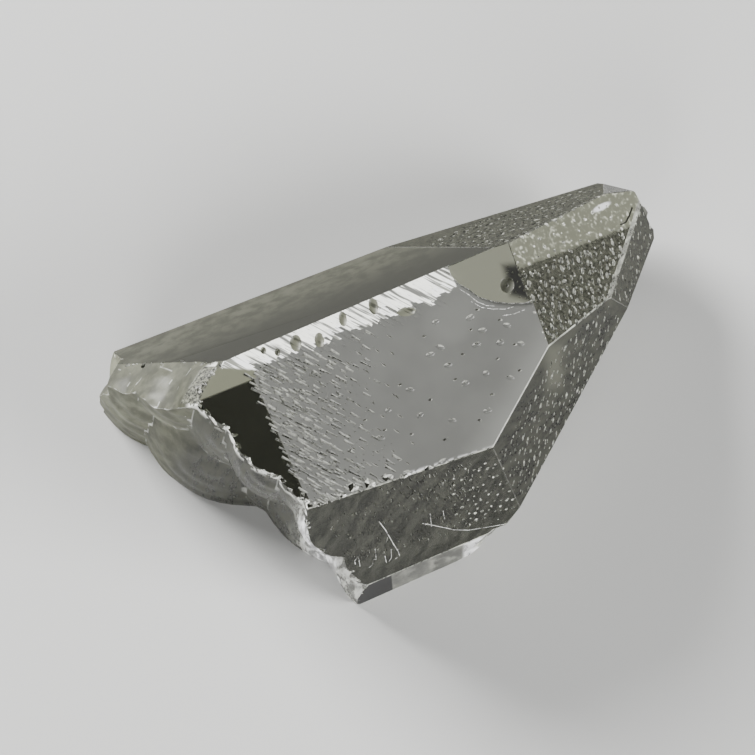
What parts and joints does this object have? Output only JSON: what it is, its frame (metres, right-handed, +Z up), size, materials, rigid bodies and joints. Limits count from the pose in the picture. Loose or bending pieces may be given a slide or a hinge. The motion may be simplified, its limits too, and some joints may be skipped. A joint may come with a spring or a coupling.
{
  "type": "phantom quartz crystal",
  "caption": "Clear pointed quartz crystal with a faint inner veil, etched and striated faces and a broken root, lying on one of its prism faces.",
  "frame": {"origin": "middle of the underside of the bounding box, in the plane of the face the crystal rests on", "axes": "+X along the crystal's long axis towards its point, +Y across it towards the sharp ridge, +Z up from the resting face"},
  "size_m": [0.0686, 0.038, 0.0265],
  "materials": {
    "quartz": "clear and glossy inside, with etched, striated and partly frosted faces"
  },
  "bodies": {
    "root": {"quartz_crystal": "quartz"}
  },
  "joints": []
}
